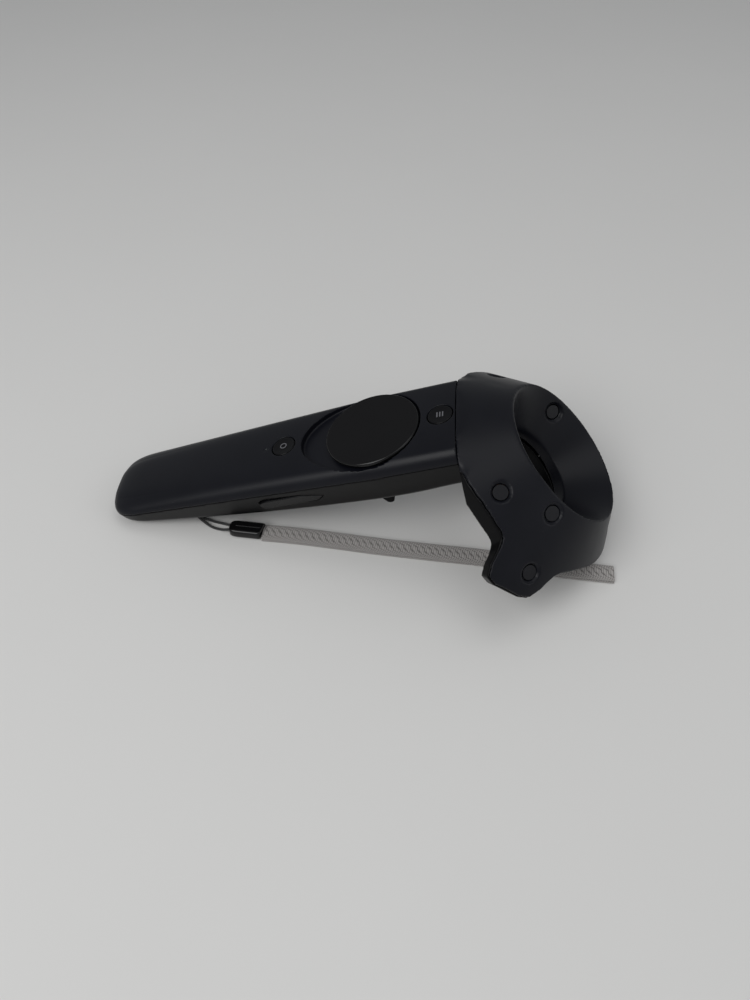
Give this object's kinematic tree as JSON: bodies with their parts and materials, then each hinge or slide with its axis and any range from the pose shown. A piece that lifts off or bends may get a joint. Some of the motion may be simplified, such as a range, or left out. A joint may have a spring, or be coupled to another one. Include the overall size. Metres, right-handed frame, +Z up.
{
  "type": "vr motion controller",
  "caption": "Hand-held motion controller: tapered grip with round trackpad, push buttons and a finger trigger, a tilted hollow sensor ring at the head and a wrist lanyard.",
  "frame": {"origin": "on the table under the middle of the controller's box, lanyard left out", "axes": "+X from the grip's tail to the ring, +Y to the left of the hand, +Z up from the table; the grip's top face rises 19.5 degrees towards the ring"},
  "size_m": [0.2224, 0.117, 0.0676],
  "materials": {
    "upper_shell": "fine matte with a satin sheen, blue-black",
    "lower_shell": "smooth satin to glossy black",
    "trackpad": "dead matte, glossy edge",
    "control": "satin black",
    "light_pipe": "clear, pale",
    "sensor_window": "smooth infrared-dark",
    "circuit_board": "green solder mask",
    "inner_plastic": "plain moulded",
    "cell": "foil pouch",
    "flex_circuit": "amber film",
    "steel": "plain",
    "black_screw": "blackened",
    "string": "braided black",
    "clasp": "polished black",
    "webbing": "woven grey tape"
  },
  "bodies": {
    "housing": {"handle_top_shell": "upper_shell", "handle_bottom_shell": "lower_shell", "head_upper_shell": "upper_shell", "head_lower_shell": "lower_shell", "status_light": "light_pipe", "trigger_pin": "steel", "trigger_spring": "steel", "sensor_window_01": "sensor_window", "sensor_window_02": "sensor_window", "sensor_window_03": "sensor_window", "sensor_window_04": "sensor_window", "sensor_window_05": "sensor_window", "sensor_window_06": "sensor_window", "sensor_window_07": "sensor_window", "sensor_window_08": "sensor_window", "sensor_window_09": "sensor_window", "sensor_window_10": "sensor_window", "sensor_window_11": "sensor_window", "sensor_window_12": "sensor_window", "sensor_window_13": "sensor_window", "sensor_window_14": "sensor_window", "sensor_window_15": "sensor_window", "sensor_window_16": "sensor_window", "sensor_window_17": "sensor_window", "sensor_window_18": "sensor_window", "sensor_window_19": "sensor_window", "sensor_window_20": "sensor_window", "sensor_window_21": "sensor_window", "sensor_window_22": "sensor_window", "sensor_window_23": "sensor_window", "sensor_window_24": "sensor_window", "main_board": "circuit_board", "system_switch": "inner_plastic", "menu_switch": "inner_plastic", "trackpad_switch": "inner_plastic", "squeeze_switch_left": "inner_plastic", "squeeze_switch_right": "inner_plastic", "trigger_sensor": "inner_plastic", "battery": "cell", "haptic_motor": "steel", "usb_receptacle": "steel", "lanyard_bar": "steel", "shell_screw_1": "black_screw", "shell_screw_2": "black_screw", "shell_screw_3": "black_screw", "shell_screw_4": "black_screw", "head_frame": "inner_plastic", "sensor_flex": "flex_circuit", "lanyard_string": "string", "lanyard_clasp": "clasp", "lanyard_strap": "webbing"},
    "trackpad_assembly": {"trackpad": "trackpad", "trackpad_board": "circuit_board"},
    "system_key": {"system_button": "control"},
    "menu_key": {"menu_button": "control"},
    "squeeze_left": {"squeeze_button_left": "control"},
    "squeeze_right": {"squeeze_button_right": "control"},
    "trigger_lever": {"trigger": "control"}
  },
  "joints": [
    {"name": "trackpad_click", "type": "slide", "parent": "housing", "child": "trackpad_assembly", "axis": [0.3338, 0, -0.9426], "range_m": [0, 0.0005], "stiffness_N_per_m": 4000},
    {"name": "system_press", "type": "slide", "parent": "housing", "child": "system_key", "axis": [0.3338, 0, -0.9426], "range_m": [0, 0.0004], "stiffness_N_per_m": 3500},
    {"name": "menu_press", "type": "slide", "parent": "housing", "child": "menu_key", "axis": [0.3338, 0, -0.9426], "range_m": [0, 0.0004], "stiffness_N_per_m": 3500},
    {"name": "squeeze_left_press", "type": "slide", "parent": "housing", "child": "squeeze_left", "axis": [-0.0976, -0.9563, 0.2756], "range_m": [0, 0.0008], "stiffness_N_per_m": 3000},
    {"name": "squeeze_right_press", "type": "slide", "parent": "housing", "child": "squeeze_right", "axis": [-0.0976, 0.9563, 0.2756], "range_m": [0, 0.0008], "stiffness_N_per_m": 3000},
    {"name": "trigger_pull", "type": "hinge", "parent": "housing", "child": "trigger_lever", "pos_m": [0.02201, 0, 0.04107], "axis": [0, 1, 0], "range_deg": [0, 16], "stiffness_Nm_per_rad": 0.06, "springref_deg": -17.19}
  ]
}
